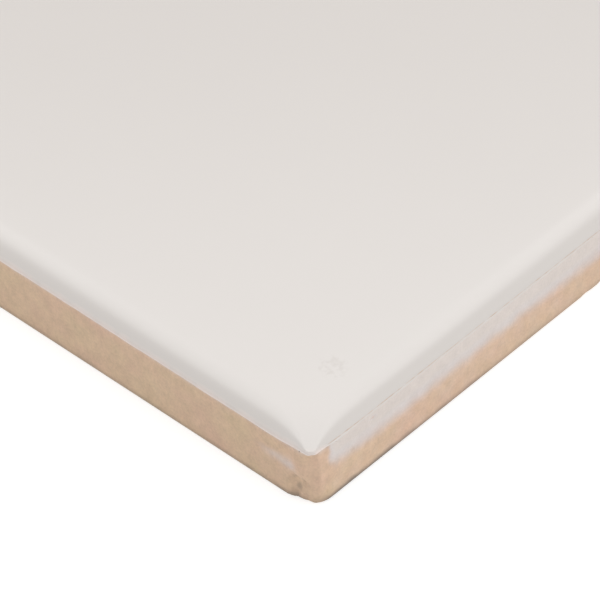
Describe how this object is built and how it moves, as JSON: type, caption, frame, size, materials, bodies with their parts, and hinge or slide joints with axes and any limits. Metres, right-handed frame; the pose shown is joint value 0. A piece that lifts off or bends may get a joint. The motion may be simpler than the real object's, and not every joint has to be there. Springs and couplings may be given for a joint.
{
  "type": "glazed ceramic wall tile",
  "caption": "Square cushion-edge wall tile with a white gloss-glazed face, bare tan clay sides and a keyed back that beds into adhesive.",
  "frame": {"origin": "middle of the keyed back, on the surface that the tile lies on", "axes": "+X and +Y along the sides, +Z out of the glazed face"},
  "size_m": [0.1, 0.1, 0.008],
  "materials": {
    "glazed_earthenware": "gloss opaque white glaze on the face, bare buff bisque on the sides and back"
  },
  "bodies": {
    "root": {"tile": "glazed_earthenware"}
  },
  "joints": []
}
